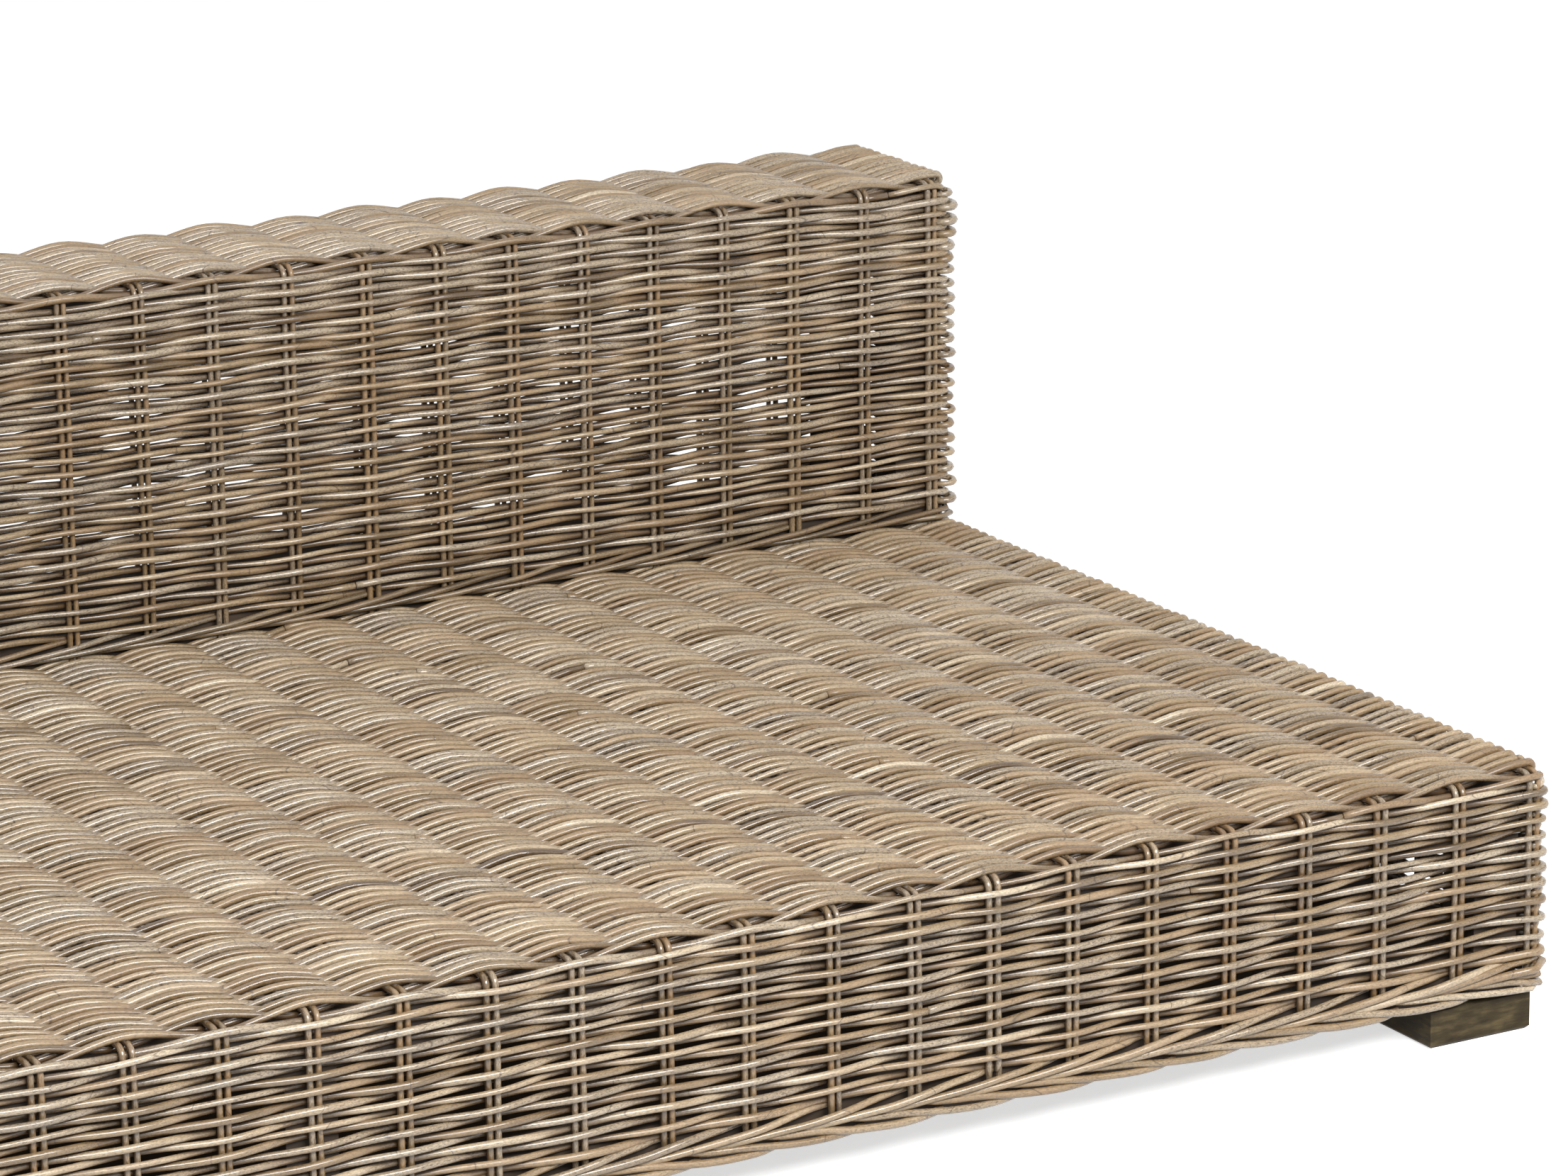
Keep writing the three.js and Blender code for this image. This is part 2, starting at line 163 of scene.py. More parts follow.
def bundleObject(name, bundle, material, slotName, *nodes):
    verts = np.concatenate(bundle["verts"])
    quads = np.concatenate([q for q, _ in bundle["quads"]])
    place = np.concatenate([p for _, p in bundle["quads"]]).astype(float)
    caps = np.concatenate([c for c, _ in bundle["caps"]])
    capCell = np.concatenate([c for _, c in bundle["caps"]])
    mesh = bpy.data.meshes.new(name)
    mesh.vertices.add(len(verts))
    mesh.vertices.foreach_set("co", verts.astype(np.float32).ravel())
    loops = np.concatenate([quads.ravel(), caps.ravel()])
    mesh.loops.add(len(loops))
    mesh.loops.foreach_set("vertex_index", loops.astype(np.int32))
    starts = np.concatenate([np.arange(len(quads)) * 4, len(quads) * 4 + np.arange(len(caps)) * 3])
    mesh.polygons.add(len(starts))
    mesh.polygons.foreach_set("loop_start", starts.astype(np.int32))
    mesh.polygons.foreach_set("use_smooth", np.ones(len(starts), bool))
    mesh.update(calc_edges=True)
    for label, key in (("caneSpace", "space"), ("caneLook", "look")):
        layer = mesh.attributes.new(label, "FLOAT_VECTOR", "POINT")
        layer.data.foreach_set("vector", np.concatenate(bundle[key]).astype(np.float32).ravel())

    # As many columns of strips as keep the map's pixels square
    columns = max(1, round(math.sqrt(bundle["cells"] * bakeMap["columns"])))
    rows = math.ceil(bundle["cells"] / columns)
    endMargin, sideMargin = bakeMap["endMargin"], bakeMap["sideMargin"]

    def onMap(cell, u, v):
        row, column = np.divmod(cell, columns)
        across = (column + endMargin + u * (1 - 2 * endMargin)) / columns
        return np.stack([across, (row + sideMargin + v * (1 - 2 * sideMargin)) / rows], -1)

    cell, ring, j, sides = place.T
    u0, u1 = ring / bakeMap["rings"], (ring + 1) / bakeMap["rings"]
    v0, v1 = j / sides, (j + 1) / sides
    corners = [onMap(cell, u0, v0), onMap(cell, u0, v1), onMap(cell, u1, v1), onMap(cell, u1, v0)]
    quadMap = np.stack(corners, 1).reshape(-1, 2)
    tip = -endMargin * 0.9
    capMap = np.stack([onMap(capCell, u, v) for u, v in ((tip, 0.2), (tip, 0.8), (tip / 3, 0.5))], 1)
    layer = mesh.uv_layers.new(name="OFBake")
    onto = np.concatenate([quadMap, capMap.reshape(-1, 2)])
    layer.data.foreach_set("uv", onto.astype(np.float32).ravel())
    mesh.materials.append(material)
    piece = bpy.data.objects.new(name, mesh)
    bpy.context.scene.collection.objects.link(piece)
    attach(piece, "root")
    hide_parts(*nodes)
    print(name, len(verts), "points")


# Materials
def nodeTree(name):
    material = bpy.data.materials.new(name)
    material.use_nodes = True
    tree = material.node_tree
    shader = tree.nodes["Principled BSDF"]
    return material, tree, shader


def feed(tree, socket, value):
    if isinstance(value, bpy.types.NodeSocket):
        tree.links.new(value, socket)
    else:
        socket.default_value = value


# Adds a node. An input is given by its name, or as i0, i1 and so on by its number.
def addNode(tree, kind, settings=None, **inputs):
    node = tree.nodes.new(kind)
    for key, value in (settings or {}).items():
        setattr(node, key, value)
    for key, value in inputs.items():
        numbered = key[0] == "i" and key[1:].isdigit()
        feed(tree, node.inputs[int(key[1:]) if numbered else key], value)
    return node


def calc(tree, operation, a, b=0.0, c=0.0):
    return addNode(tree, "ShaderNodeMath", {"operation": operation}, i0=a, i1=b, i2=c).outputs[0]


# A noise, counted from its middle, adds so much to the base
def sway(tree, noise, amount, base):
    return calc(tree, "MULTIPLY_ADD", calc(tree, "SUBTRACT", noise, 0.5), amount, base)


def noiseOf(tree, vector, scale=1.0, detail=2.0, roughness=0.5):
    inputs = {"Vector": vector, "Scale": scale, "Detail": detail, "Roughness": roughness}
    return addNode(tree, "ShaderNodeTexNoise", **inputs).outputs["Fac"]


def stretch(tree, vector, scale):
    settings = {"operation": "MULTIPLY"}
    return addNode(tree, "ShaderNodeVectorMath", settings, i0=vector, i1=scale).outputs[0]


def ramp(tree, value, stops):
    node = addNode(tree, "ShaderNodeValToRGB", Fac=value)
    points = node.color_ramp.elements
    while len(points) < len(stops):
        points.new(0.5)
    for point, (position, colour) in zip(points, stops):
        point.position = position
        point.color = (*colour, 1)
    return node.outputs["Color"]


def greyRamp(tree, value, *stops):
    return ramp(tree, value, [(position, (level, level, level)) for position, level in stops])


def mixColour(tree, mode, factor, a, b):
    node = tree.nodes.new("ShaderNodeMix")
    node.data_type = "RGBA"
    node.blend_type = mode
    for i, value in ((0, factor), (6, a), (7, b)):
        feed(tree, node.inputs[i], value)
    return node.outputs[2]


def srgb(*levels):
    shares = [level / 255 for level in levels]
    return tuple(v / 12.92 if v <= 0.04 else ((v + 0.055) / 1.055) ** 2.4 for v in shares)


# Colours of the canes, from the darkest cane to the palest
caneLook = {
    "tones": [
        (0.0, srgb(88, 69, 47)),
        (0.25, srgb(123, 101, 72)),
        (0.5, srgb(151, 129, 98)),
        (0.75, srgb(177, 156, 126)),
        (1.0, srgb(207, 190, 163)),
    ],
    "warm": srgb(146, 116, 81),
    "grey": srgb(166, 152, 132),
    "bark": srgb(66, 48, 32),
    "recessShade": srgb(80, 57, 36),  # painted shade of the recesses of the weave
    "tonePatches": 0.65,  # how much the patches and the fibres change a cane's tone
    "toneFibres": 0.5,
    "scratch": 0.6,
    "mottle": 0.95,
    "shadePatches": 0.2,
    "roughness": (0.2, 0.56),
    "dull": {"patches": 2.4, "flecks": 0.8, "hue": 0.8},
    "relief": {"swell": 0.9, "fibres": 0.5, "line": 0.8, "specks": 0.25},
    "specular": 0.6,
    "coat": 0.5,
    "coatRoughness": 0.12,
    "bump": (0.4, 0.0005),
    # noises: how fine along the cane and across it, detail and roughness
    "patches": (14, 60, 3, 0.5),
    "fibres": (45, 1500, 3, 0.6),
    "scratches": (240, 3200, 2, 0.5),
    "spots": (260, 900, 2, 0.5),
    "flecks": (420, 1100, 3, 0.7),
    "drift": (5, 10, 0, 0.5),
    # knuckles of the cane: how many to a metre, how far they stray, how ragged, and widths
    "knuckles": {"perMetre": 4.6, "drift": 1.6, "ragged": 0.006, "line": 0.01, "swell": 0.035},
}


def caneMaterial(name, look):
    material, tree, shader = nodeTree(name)
    space = addNode(tree, "ShaderNodeAttribute", {"attribute_name": "caneSpace"}).outputs["Vector"]
    values = addNode(tree, "ShaderNodeAttribute", {"attribute_name": "caneLook"}).outputs["Vector"]
    tone, hue, shadeDepth = addNode(tree, "ShaderNodeSeparateXYZ", Vector=values).outputs
    along = addNode(tree, "ShaderNodeSeparateXYZ", Vector=space).outputs[0]

    def noise(key):
        x, y, detail, roughness = look[key]
        return noiseOf(tree, stretch(tree, space, (x, y, y)), 1.0, detail, roughness)

    patches, fibres, scratches = noise("patches"), noise("fibres"), noise("scratches")
    spots, flecks, drift = noise("spots"), noise("flecks"), noise("drift")

    # A dark line every hand's breadth or so, on a swelling
    knuckles = look["knuckles"]
    stray = calc(tree, "MULTIPLY", drift, knuckles["drift"])
    turns = calc(tree, "MULTIPLY_ADD", along, knuckles["perMetre"], stray)
    near = calc(tree, "ABSOLUTE", calc(tree, "SUBTRACT", calc(tree, "FRACT", turns), 0.5))

    def closeTo(distance, width, softness):
        share = calc(tree, "DIVIDE", distance, width)
        return calc(tree, "SUBTRACT", 1.0, calc(tree, "SMOOTH_MIN", share, 1.0, softness))

    ragged = calc(tree, "MULTIPLY_ADD", scratches, knuckles["ragged"], near)
    line = closeTo(ragged, knuckles["line"], 0.2)
    swell = closeTo(near, knuckles["swell"], 0.3)

    # The cane's own tone and hue
    level = sway(tree, fibres, look["toneFibres"], sway(tree, patches, look["tonePatches"], tone))
    base = ramp(tree, level, look["tones"])
    warmCanes = greyRamp(tree, hue, (0.0, 0), (0.6, 0), (0.85, 0.3), (1.0, 0.5))
    warmPatches = greyRamp(tree, patches, (0.0, 0), (0.5, 0), (0.62, 0.5), (1.0, 0.6))
    warmth = calc(tree, "MAXIMUM", warmCanes, warmPatches)
    base = mixColour(tree, "MIX", warmth, base, (*look["warm"], 1))
    cool = greyRamp(tree, hue, (0.0, 0.65), (0.25, 0.45), (0.42, 0), (1.0, 0))
    base = mixColour(tree, "MIX", cool, base, (*look["grey"], 1))

    # Scratches, flecks, spots of bark, knuckles, and painted shade in the recesses of the weave
    dark = greyRamp(tree, scratches, (0.0, 0.55), (0.4, 0.95), (0.7, 1.08), (1.0, 1.12))
    base = mixColour(tree, "MULTIPLY", look["scratch"], base, dark)
    flecked = greyRamp(tree, flecks, (0.0, 0.25), (0.4, 0.68), (0.55, 1.1), (1.0, 1.6))
    worn = greyRamp(tree, hue, (0.0, 1), (0.3, 0.95), (0.5, 0.6), (1.0, 0.75))
    base = mixColour(tree, "MULTIPLY", calc(tree, "MULTIPLY", worn, look["mottle"]), base, flecked)
    speck = greyRamp(tree, spots, (0.0, 0), (0.56, 0), (0.68, 0.6), (1.0, 0.8))
    speck = calc(tree, "MULTIPLY", speck, worn)
    base = mixColour(tree, "MIX", speck, base, (*look["bark"], 1))
    base = mixColour(tree, "MIX", line, base, (*look["bark"], 1))
    # Painted shade, deeper in the recesses of the weave and patchy along the cane
    depth = sway(tree, patches, look["shadePatches"], shadeDepth)
    shadeShare = greyRamp(tree, depth, (0.0, 0), (0.3, 0), (0.5, 0.46), (0.7, 0.74), (1.0, 0.88))
    base = mixColour(tree, "MIX", shadeShare, base, (*look["recessShade"], 1))
    tree.links.new(base, shader.inputs["Base Color"])

    (low, high), share = look["roughness"], look["dull"]
    dull = sway(tree, patches, share["patches"], calc(tree, "MULTIPLY", hue, share["hue"]))
    dull = sway(tree, flecks, share["flecks"], dull)
    rough = greyRamp(tree, dull, (0.0, low), (0.35, low), (0.9, high), (1.0, high))
    tree.links.new(rough, shader.inputs["Roughness"])
    relief = look["relief"]
    height = calc(tree, "MULTIPLY", fibres, relief["fibres"])
    height = calc(tree, "MULTIPLY_ADD", swell, relief["swell"], height)
    height = calc(tree, "SUBTRACT", height, calc(tree, "MULTIPLY", line, relief["line"]))
    height = calc(tree, "SUBTRACT", height, calc(tree, "MULTIPLY", speck, relief["specks"]))
    strength, distance = look["bump"]
    bump = addNode(tree, "ShaderNodeBump", Strength=strength, Distance=distance, Height=height)
    tree.links.new(bump.outputs["Normal"], shader.inputs["Normal"])
    shader.inputs["Specular IOR Level"].default_value = look["specular"]
    shader.inputs["Coat Weight"].default_value = look["coat"]
    shader.inputs["Coat Roughness"].default_value = look["coatRoughness"]
    return material


weaverCane = caneMaterial("weaver_cane", caneLook)
stakeCane = caneMaterial("stake_cane", {**caneLook, "warm": srgb(168, 128, 82)})
borderCane = caneMaterial("border_cane", {**caneLook, "grey": srgb(166, 148, 124)})
twineShade = 0.62
twineTones = [(place, tuple(twineShade * c for c in colour)) for place, colour in caneLook["tones"]]
twineCane = caneMaterial("twine_cane", {**caneLook, "tones": twineTones})
print("cane materials made")


# Pairs of stakes at an even pitch along a face
def pairPlaces(low, high, overhang):
    first, last = low + overhang, high - overhang
    bays = round((last - first) / weave["pitch"])
    return np.linspace(first, last, bays + 1)


lengthPairs = pairPlaces(left + proud, right - proud, weave["endOverhang"])
lengthPairs[1:-1] += rng.uniform(-weave["straySeat"], weave["straySeat"], len(lengthPairs) - 2)
lengthPairs[:2] -= (proud, weave["lastBay"])
lengthPairs[-2:] += (weave["lastBay"], proud)
backLengthPairs = pairPlaces(left + proud, right - proud, weave["endOverhang"] + weave["backOverhang"])
strayed = rng.uniform(-weave["strayBack"], weave["strayBack"], len(backLengthPairs) - 2)
backLengthPairs[1:-1] += strayed
depthPairs = pairPlaces(front, rear, weave["sideOverhang"])
backPairs = depthPairs[depthPairs > backFace]


# Closed way round a box in the plane of its stakes: left side from the rear, front, right side, rear
def ringWay(yLow, yHigh, alongPairs, sidePairs):
    low, high = np.array([left, yLow]) + inset, np.array([right, yHigh]) - inset
    r = weave["cornerRadius"]
    sides = [
        ((low[0], high[1] - r), (low[0], low[1] + r), 180, sidePairs[::-1], 1),
        ((low[0] + r, low[1]), (high[0] - r, low[1]), 270, alongPairs, 0),
        ((high[0], low[1] + r), (high[0], high[1] - r), 0, sidePairs, 1),
        ((high[0] - r, high[1]), (low[0] + r, high[1]), 90, alongPairs[::-1], 0),
    ]
    points, normals, pairs, bends, gone = [], [], [], [], 0.0
    for start, end, facing, places, axis in sides:
        start, end = np.array(start), np.array(end)
        normal = np.array([math.cos(math.radians(facing)), math.sin(math.radians(facing))])
        pairs += [gone + abs(place - start[axis]) for place in places]
        points += [start, end]
        normals += [normal, normal]
        centre = end - normal * r
        for step in range(1, weave["cornerSteps"]):
            angle = math.radians(facing + 90 * step / weave["cornerSteps"])
            normals.append(np.array([math.cos(angle), math.sin(angle)]))
            points.append(centre + normals[-1] * r)
        bends.append(gone + np.linalg.norm(end - start) + math.pi / 4 * r)
        gone += np.linalg.norm(end - start) + math.pi / 2 * r
    points, normals = np.array(points + points[:1]), np.array(normals + normals[:1])
    places = np.concatenate([[0], np.cumsum(np.linalg.norm(np.diff(points, axis=0), axis=1))])
    n, m = len(sidePairs), len(alongPairs)
    # the last pair of a long face at each corner, and which way the end face lies from it
    corners = [(n, -1), (n + m - 1, 1), (2 * n + m, -1), (2 * n + 2 * m - 1, 1)]
    return {
        "s": places,
        "end": places[-1],
        "points": points,
        "normals": normals,
        "pairs": np.array(pairs),
        "corners": corners,
        "bends": np.array(bends),  # the middles of the corners
    }


# A distance along a closed way, taken the short way round
def shortWay(way, distance):
    return (distance + way["end"] / 2) % way["end"] - way["end"] / 2


def onWay(way, s):
    s = np.mod(s, way["end"])
    points = np.stack([np.interp(s, way["s"], way["points"][:, i]) for i in range(2)], -1)
    normals = np.stack([np.interp(s, way["s"], way["normals"][:, i]) for i in range(2)], -1)
    return points, normals / np.linalg.norm(normals, axis=1, keepdims=True)


# Places along a row from its first pair to its last, how far the cane swings out at each (+1 over a
# pair, -1 under it), and how far it strays from its level
def rowSwing(pairs, first):
    stray = np.clip(rng.normal(0, 1, len(pairs)), -2, 2)
    places, swings, levels = [], [], []
    for i in range(len(pairs) - 1):
        steps = weave["stepsPerBay"] * (1 if pairs[i + 1] - pairs[i] > weave["pitch"] / 2 else 2)
        u = np.arange(steps) / steps
        bent = np.clip((u - weave["crest"]) / (1 - 2 * weave["crest"]), 0, 1)
        blend = (1 - np.cos(math.pi * u)) / 2
        places.append(pairs[i] + u * (pairs[i + 1] - pairs[i]))
        swings.append(first * (-1) ** i * (np.cos(math.pi * bent) + 1 - 2 * bent) / 2)
        levels.append(stray[i] * (1 - blend) + stray[i + 1] * blend)
    places.append(pairs[-1:])
    swings.append([first * (-1.0) ** (len(pairs) - 1)])
    levels.append(stray[-1:])
    return np.concatenate(places), np.concatenate(swings), np.concatenate(levels) * weave["levelSpread"]


# Slow wander that neighbouring rows share, of waves that have no common length
def wander(along, across):
    slow = np.sin(along * 7.1 + across * 9 + 1) + np.sin(along * 13.7 - across * 36 + 4)
    quick = np.sin(along * 31 + across * 47) + 0.7 * np.sin(along * 53 - across * 88 + 2)
    return weave["wave"] * (slow + quick) / 2


# Cuts a row into canes that follow one another, and adds each with a tone of its own
def addRow(bundle, places, points, normals, out, tones=weave["tones"], full=1.0):
    full = np.broadcast_to(full, (len(places),))
    start = places[0] - rng.uniform(0, weave["shortest"])
    cuts = []
    while start < places[-1]:
        start += rng.uniform(weave["shortest"], weave["longest"])
        cuts.append(start)
    first = 0
    for cut in cuts:
        last = min(len(places), np.searchsorted(places, cut))
        bay = weave["stepsPerBay"]
        near = np.arange(max(first, last - bay), min(len(places), last + bay))
        if last < len(places) and rng.uniform() < weave["hiddenJoints"]:
            last = near[np.argmin(out[near])]
        if last - first < weave["fewest"]:
            continue
        if len(places) - last < weave["fewest"]:
            last = len(places)
        run = points[first:last].copy()
        if last < len(places):
            gap = points[last] - run[-1]
            run[-1] += gap * (1 - weave["jointGap"] / np.linalg.norm(gap))
        part = slice(first, last)
        thicker = np.clip(rng.normal(0, weave["caneSpread"]), *weave["caneLimits"])
        radius = weave["cane"] / 2 * (1 + thicker)
        wave = np.sin(places[part] * weave["unevenRate"] + rng.uniform(0, 6))
        uneven = 1 + weave["uneven"] * wave
        addCane(bundle, run, normals[part], radius * full[part] * uneven, rng.normal(*tones), out[part])
        first = last
        if last == len(places):
            break


# Rows round a box. Loops say how far a cane stands off at a corner where it comes from outside the
# last pair of the long face, how far where it comes from inside it, and how far past that pair.
def addRings(bundle, way, rows, loops, row0=0, span=None):
    for i, level in enumerate(rows):
        sign = 1 if (i + row0) % 2 == 0 else -1
        pairs = np.append(way["pairs"], way["pairs"][0] + way["end"])
        signs = sign * (-1.0) ** np.arange(len(pairs))
        low, high = span or (0, len(pairs) - 1)
        places, swings, strays = rowSwing(pairs[low: high + 1], signs[low])
        out = swings * swing
        for corner, side in way["corners"]:
            reach = loops[0] if signs[corner] > 0 else loops[1]
            far = shortWay(way, places - pairs[corner] - side * loops[2])
            reach *= 1 + rng.uniform(-weave["loopSpread"], weave["loopSpread"])
            out += reach * np.exp(-((far / weave["loopWidth"]) ** 2))
        flat, normal = onWay(way, places)
        z = level + rng.normal(0, weave["rowSpread"]) + strays + wander(places, level)
        points = np.column_stack([flat + normal * out[:, None], z + weave["beat"] * swings])
        full = np.where(np.abs(normal[:, 1] + 1) < 0.1, 1.0, weave["hiddenSides"])
        addRow(bundle, places, points, np.column_stack([normal, np.zeros(len(places))]), out, full=full)


def rowLevels(low, high, spacing):
    t = np.linspace(0, 1, round((high - low) / spacing) + 1)
    return low + (high - low) * (t + weave["settled"] * t * (1 - t))


# Seat box: rows of canes right round it
boxRows = {
    "spacing": 0.00685,
    "above": 0.0035,  # from the border to the lowest row
    "below": 0.0193,  # from the top to the highest row
    "loops": (0.004, 0.009, 0.009),
}
boxWay = ringWay(front, rear, lengthPairs, depthPairs)
lowRow = borderHigh.z + boxRows["above"]
highRow = seatTop - boxRows["below"]
levels = rowLevels(lowRow, highRow, boxRows["spacing"])
cut = len(levels) // 2
walls = ("front_weave", "left_weave", "right_weave", "rear_weave")
# The highest row lies over every pair at which the edge cane dives
turn = (len(depthPairs) + len(levels)) % 2
for name, part, row0 in (("low", levels[:cut], turn), ("high", levels[cut:], cut + turn)):
    bundle = newBundle()
    addRings(bundle, boxWay, part, boxRows["loops"], row0)
    bundleObject("seat_box_canes_" + name, bundle, weaverCane, "cane", *walls)

# Backrest: rows right round it above the seat, and rows across its rear and ends below them
backRows = {**boxRows, "bundles": 3, "loops": (0.003, 0.009, 0.014)}
backWay = ringWay(backFace, rear, backLengthPairs, backPairs)
lowRow = twineHigh.z + lift["twine"] + backRows["above"]
topRow = backTop - backRows["below"]
levels = rowLevels(lowRow, topRow, backRows["spacing"])
spacing = backRows["spacing"]
fillRows = np.arange(lowRow - spacing, highRow + spacing / 2, -spacing)
sideCount, alongCount = len(backPairs), len(backLengthPairs)
backWalls = ("back_front_weave", "back_left_weave", "back_right_weave", "rear_weave")
row0 = (sideCount + len(levels)) % 2
for i, part in enumerate(np.array_split(levels, backRows["bundles"])):
    bundle = newBundle()
    addRings(bundle, backWay, part, backRows["loops"], row0)
    if i == 0:
        around = (sideCount + alongCount, 2 * sideCount + 2 * alongCount)
        addRings(bundle, backWay, fillRows, backRows["loops"], row0 + 1, around)
        addRings(bundle, backWay, fillRows, backRows["loops"], row0 + 1, (0, sideCount - 1))
    row0 += len(part)
    bundleObject("backrest_canes_" + str(i + 1), bundle, weaverCane, "cane", *backWalls)


# Level panels: rows along X. A row that ends over the last pair turns down round it, and one that
# ends below it stops there.
panelEnd = {
    "turn": 145,  # degrees
    "steps": 10,
    "below": 0.006,  # metres past the last pair
    "backrest": 0.009,
    "join": 0.004,
}


def rowEnd(over, side, last, spacing, past):
    beside = weave["pairSpacing"] / 2 + past
    if over:
        steps = panelEnd["steps"]
        t = np.radians(np.linspace(90, 90 - panelEnd["turn"], steps))
        away, up = beside + swing * np.cos(t), swing * np.sin(t)
        normal = np.column_stack([side * np.cos(t), 0 * t, np.sin(t)])
        shift = spacing / 2 * np.linspace(0, 1, steps) ** 2
    else:
        away, up, shift = np.array([beside, panelEnd["below"] + past]), np.full(2, -swing), np.zeros(2)
        normal = np.array([(0, 0, 1.0)] * 2)
    return np.column_stack([last + side * away, shift, up]), normal


def addPanelRows(bundle, top, pairs, ys, row0, past=0.0):
    for i, y in enumerate(ys):
        sign = -1 if (i + row0) % 2 == 0 else 1
        places, swings, strays = rowSwing(pairs, sign)
        across = rng.normal(0, weave["rowSpread"]) + strays + wander(places, y)
        points = np.column_stack([places, y + across, top - inset + swings * swing])
        outward = np.tile((0, 0, 1.0), (len(places), 1))
        start, startOut = rowEnd(swings[0] > 0, -1, pairs[0], seatRows["spacing"], past)
        end, endOut = rowEnd(swings[-1] > 0, 1, pairs[-1], seatRows["spacing"], past)
        start += (0, y + across[0], top - inset)
        end += (0, y + across[-1], top - inset)
        points = np.concatenate([start[::-1], points, end])
        outward = np.concatenate([startOut[::-1], outward, endOut])
        gone = [np.linalg.norm(np.diff(part, axis=0), axis=1).cumsum() for part in (start, end)]
        before = pairs[0] - panelEnd["join"] - np.append(0, gone[0])[::-1]
        after = pairs[-1] + panelEnd["join"] + np.append(0, gone[1])
        swings = np.concatenate([np.full(len(start), swings[0]), swings, np.full(len(end), swings[-1])])
        addRow(bundle, np.concatenate([before, places, after]), points, outward, swings * swing)


seatRows = {"spacing": 0.0072, "front": 0.0165, "behind": 0.011, "bundles": 4}
count = round((backFace + seatRows["behind"] - front - seatRows["front"]) / seatRows["spacing"])
ys = np.linspace(front + seatRows["front"], backFace + seatRows["behind"], count + 1)
row0 = 0
for i, part in enumerate(np.array_split(ys, seatRows["bundles"])):
    bundle = newBundle()
    addPanelRows(bundle, seatTop, lengthPairs, part, row0)
    row0 += len(part)
    bundleObject("seat_canes_" + str(i + 1), bundle, weaverCane, "cane", "seat_weave")

count = round((rear - backFace - 2 * seatRows["front"]) / backRows["spacing"])
count += (count + sideCount + 1) % 2
ys = np.linspace(backFace + seatRows["front"], rear - seatRows["front"], count + 1)
bundle = newBundle()
addPanelRows(bundle, backTop, backLengthPairs, ys, 0, panelEnd["backrest"])
bundleObject("backrest_top_canes", bundle, weaverCane, "cane", "back_top_weave")
print("rows woven")


# Stakes: pairs of rods that stand in the walls and bend over the top edges
stakes = {
    "bend": 0.0085,
    "bendSteps": 6,
    "step": 0.018,  # between two rings of a straight run
    "wobble": 0.0004,
    "lean": 0.0012,  # how far a pair stands beside its place
    "spread": 0.06,  # of the diameter
    "limits": (-0.14, 0.14),
    "spacingLimits": (-0.08, 0.12),
    "root": 0.012,  # how deep it stands in the border
    "end": 0.012,  # how far it runs on under the backrest
    "tones": (0.36, 0.12),
}


def bentRod(bundle, corners, facing):
    points, radius, steps = [], stakes["bend"], stakes["bendSteps"]
    for i, corner in enumerate(corners):
        if i in (0, len(corners) - 1):
            points.append(corner)
            continue
        before, after = corners[i - 1] - corner, corners[i + 1] - corner
        before /= np.linalg.norm(before)
        after /= np.linalg.norm(after)
        centre = corner + (before + after) * radius
        for step in range(steps + 1):
            angle = math.pi / 2 * step / steps
            arm = -after * math.cos(angle) - before * math.sin(angle)
            points.append(centre + arm * radius)
    points = np.array(points, float)
    gaps = np.linalg.norm(np.diff(points, axis=0), axis=1)
    places = np.concatenate([[0], np.cumsum(gaps)])
    runs = []
    for a, b in zip(places, places[1:]):
        runs.append(np.linspace(a, b, max(2, int((b - a) / stakes["step"]) + 1), endpoint=False))
    s = np.concatenate(runs + [[places[-1]]])
    points = np.stack([np.interp(s, places, points[:, k]) for k in range(3)], -1)
    wobble = stakes["wobble"] * np.sin(s * rng.uniform(20, 45) + rng.uniform(0, 6))
    points = points + np.outer(wobble, facing)
    thick = weave["stake"] / 2 * (1 + np.clip(rng.normal(0, stakes["spread"]), *stakes["limits"]))
    outward = np.cross(facing, np.gradient(points, axis=0))
    addCane(bundle, points, outward, thick, rng.normal(*stakes["tones"]), 0.0)


def addPairs(bundle, places, along, corners):
    along = np.array(along, float)
    for place in places:
        spacing = weave["pairSpacing"] * (1 + rng.uniform(*stakes["spacingLimits"]))
        lean = rng.uniform(-stakes["lean"], stakes["lean"])
        for side in (-1, 1):
            shift = abs(along) * (place + lean + side * spacing / 2)
            bentRod(bundle, [np.array(corner) + shift for corner in corners], along)


rootZ = borderHigh.z - stakes["root"]
seatZ, topZ = seatTop - inset, backTop - inset
bundle = newBundle()
addPairs(bundle, lengthPairs, (1, 0, 0), [
    (0, front + inset, rootZ),
    (0, front + inset, seatZ),
    (0, backFace + inset + stakes["end"], seatZ),
])
bundleObject("seat_stakes", bundle, stakeCane, "cane", "seat_weave", "front_weave")

bundle = newBundle()
addPairs(bundle, backLengthPairs, (1, 0, 0), [
    (0, backFace + inset, seatZ),
    (0, backFace + inset, topZ),
    (0, rear - inset, topZ),
    (0, rear - inset, rootZ),
])
backNodes = ("back_front_weave", "back_top_weave", "rear_weave")
bundleObject("backrest_stakes", bundle, stakeCane, "cane", *backNodes)

bundle = newBundle()
for x, side in ((left + inset, -1), (right - inset, 1)):
    for places, z in ((depthPairs[depthPairs < backFace], seatZ), (backPairs, topZ)):
        addPairs(bundle, places, (0, side, 0), [(x, 0, rootZ), (x, 0, z - inset)])
sideWalls = ("left_weave", "right_weave", "back_left_weave", "back_right_weave")
bundleObject("side_stakes", bundle, stakeCane, "cane", *sideWalls)

# One cane along a top edge, over every second bend of the stakes and behind the others. Angles are
# counted up from level, round the middle of the bend.
edge = {"angle": 31, "dive": 14, "bulge": 0.0012, "tones": (0.55, 0.14)}


